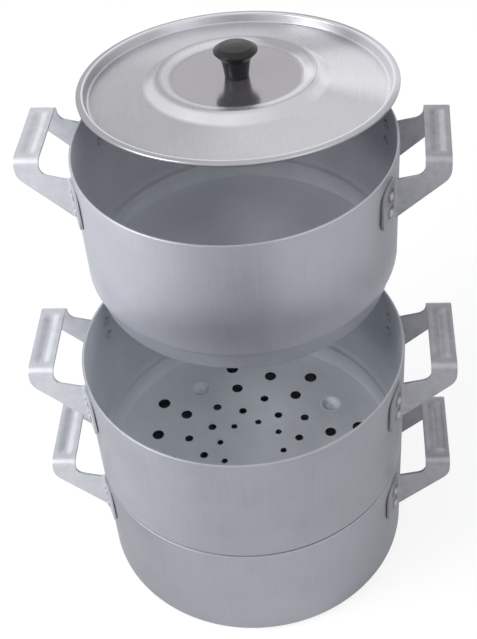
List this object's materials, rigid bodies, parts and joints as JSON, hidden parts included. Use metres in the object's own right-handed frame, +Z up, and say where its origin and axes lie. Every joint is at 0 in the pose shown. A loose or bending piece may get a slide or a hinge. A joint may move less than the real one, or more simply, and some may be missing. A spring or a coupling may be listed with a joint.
{
  "type": "stacking steamer pot",
  "caption": "Stacking steamer pot: base pot, perforated steamer tier nested in its rim, upper pot set back on the tier, and a lid laid slanting across the upper pot.",
  "frame": {"origin": "centre of the base pot's underside, on the surface that it stands on", "axes": "+Z up, +X along the base pot's handles to the right, -Y to the front, from where the part is seen"},
  "size_m": [0.3412, 0.4272, 0.3934],
  "materials": {
    "vessel_sheet": "satin, spun and pressed",
    "handle_strip": "satin",
    "lid_sheet": "bright, finely turned",
    "rivet": "satin",
    "knob": "soft gloss",
    "bush": "plain turned",
    "fastener": "plated"
  },
  "bodies": {
    "base": {"base_pot": "vessel_sheet", "base_handle_left": "handle_strip", "base_handle_right": "handle_strip", "base_rivets_left": "rivet", "base_rivets_right": "rivet"},
    "tier": {"steamer_tier": "vessel_sheet", "tier_handle_left": "handle_strip", "tier_handle_right": "handle_strip", "tier_rivets_left": "rivet", "tier_rivets_right": "rivet"},
    "upper": {"upper_pot": "vessel_sheet", "upper_handle_left": "handle_strip", "upper_handle_right": "handle_strip", "upper_rivets_left": "rivet", "upper_rivets_right": "rivet"},
    "cover": {"lid": "lid_sheet", "lid_knob": "knob", "knob_bush": "bush", "knob_screw": "fastener", "knob_washer": "fastener"}
  },
  "joints": [
    {"name": "tier_lift", "type": "slide", "parent": "base", "child": "tier", "axis": [0, 0, 1], "range_m": [0, 0.15]},
    {"name": "upper_lift", "type": "slide", "parent": "tier", "child": "upper", "axis": [0, 0, 1], "range_m": [0, 0.15]},
    {"name": "cover_lift", "type": "slide", "parent": "upper", "child": "cover", "axis": [0, 0, 1], "range_m": [0, 0.12]}
  ]
}
